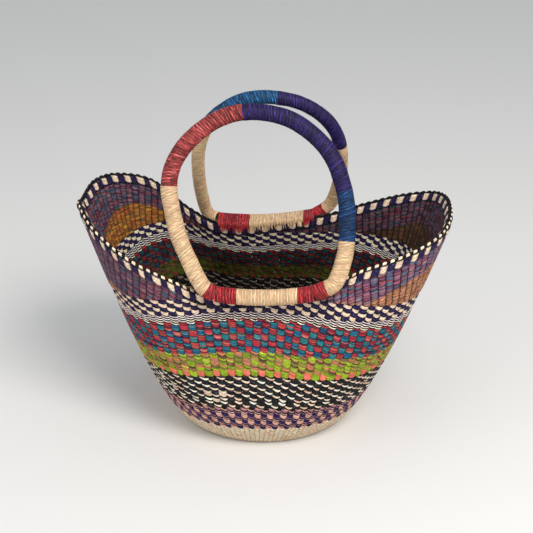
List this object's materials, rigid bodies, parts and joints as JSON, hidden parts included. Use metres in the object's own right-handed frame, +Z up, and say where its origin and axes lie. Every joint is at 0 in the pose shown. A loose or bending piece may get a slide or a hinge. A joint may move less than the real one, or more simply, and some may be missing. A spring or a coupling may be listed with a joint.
{
  "type": "woven straw shopper basket",
  "caption": "Round-bottomed shopper twined from straw in bands of colour, its rim rising to a horn at each end, with two straw-wrapped hoop handles lashed outside the rim.",
  "frame": {"origin": "on the table, under the middle of the round bottom", "axes": "+X along the length to the right horn, +Y to the back, +Z up"},
  "size_m": [0.4288, 0.2705, 0.3955],
  "materials": {
    "natural_weave": "twined straw, natural cream with tan strands, matte",
    "violet_pink_weave": "twined straw, small violet and salmon-pink checks, matte",
    "black_cream_weave": "twined straw, near black with cream dashes, matte",
    "lime_coral_weave": "twined straw, lime green with brown-pink checks over a coral row, matte",
    "red_teal_weave": "twined straw, crimson and teal checks, matte",
    "pinstripe_weave": "twined straw, thin cream and dark purple rows in turn, matte",
    "check_weave": "twined straw, cream and dark purple block checks, matte",
    "ochre_weave": "twined straw, ochre and orange-brown, matte",
    "plum_weave": "twined straw, mauve, plum, blue-grey and red strands mixed, matte",
    "rim_course_weave": "thicker course of cream and navy blocks in turn, matte",
    "rim_edge_cord": "twined black and cream straw cord, matte",
    "red_wrap": "crimson-dyed straw wrapping, close fine turns, slight sheen",
    "natural_wrap": "natural straw wrapping, close fine turns, slight sheen",
    "grass_core": "bundle of dry grass stalks",
    "blue_wrap": "blue-dyed straw wrapping, close fine turns, slight sheen",
    "purple_wrap": "dark purple-dyed straw wrapping, close fine turns, slight sheen"
  },
  "bodies": {
    "basket": {"bottom_disc": "natural_weave", "heel_band": "natural_weave", "violet_pink_band": "violet_pink_weave", "black_cream_band": "black_cream_weave", "lime_coral_band": "lime_coral_weave", "red_teal_band": "red_teal_weave", "pinstripe_band": "pinstripe_weave", "check_band": "check_weave", "ochre_band_left": "ochre_weave", "plum_band_left": "plum_weave", "ochre_band_right": "ochre_weave", "plum_band_right": "plum_weave", "rim_course": "rim_course_weave", "rim_edge": "rim_edge_cord", "front_binding_red_left": "red_wrap", "front_binding_natural": "natural_wrap", "front_binding_red_right": "red_wrap", "back_binding_red_left": "red_wrap", "back_binding_natural": "natural_wrap", "back_binding_red_right": "red_wrap"},
    "front_handle": {"front_handle_core": "grass_core", "front_wrap_lashing_right": "red_wrap", "front_wrap_natural_right": "natural_wrap", "front_wrap_blue": "blue_wrap", "front_wrap_purple": "purple_wrap", "front_wrap_red": "red_wrap", "front_wrap_natural_left": "natural_wrap", "front_wrap_lashing_left": "red_wrap"},
    "back_handle": {"back_handle_core": "grass_core", "back_wrap_lashing_right": "red_wrap", "back_wrap_natural_right": "natural_wrap", "back_wrap_purple": "purple_wrap", "back_wrap_blue": "blue_wrap", "back_wrap_natural_left": "natural_wrap"}
  },
  "joints": [
    {"name": "front_handle_swing", "type": "hinge", "parent": "basket", "child": "front_handle", "pos_m": [0, -0.122, 0.1988], "axis": [0.9994, 0, 0.0349], "range_deg": [-8, 77]},
    {"name": "back_handle_swing", "type": "hinge", "parent": "basket", "child": "back_handle", "pos_m": [0, 0.114, 0.194], "axis": [-0.9976, 0, -0.0698], "range_deg": [-10, 82]}
  ]
}
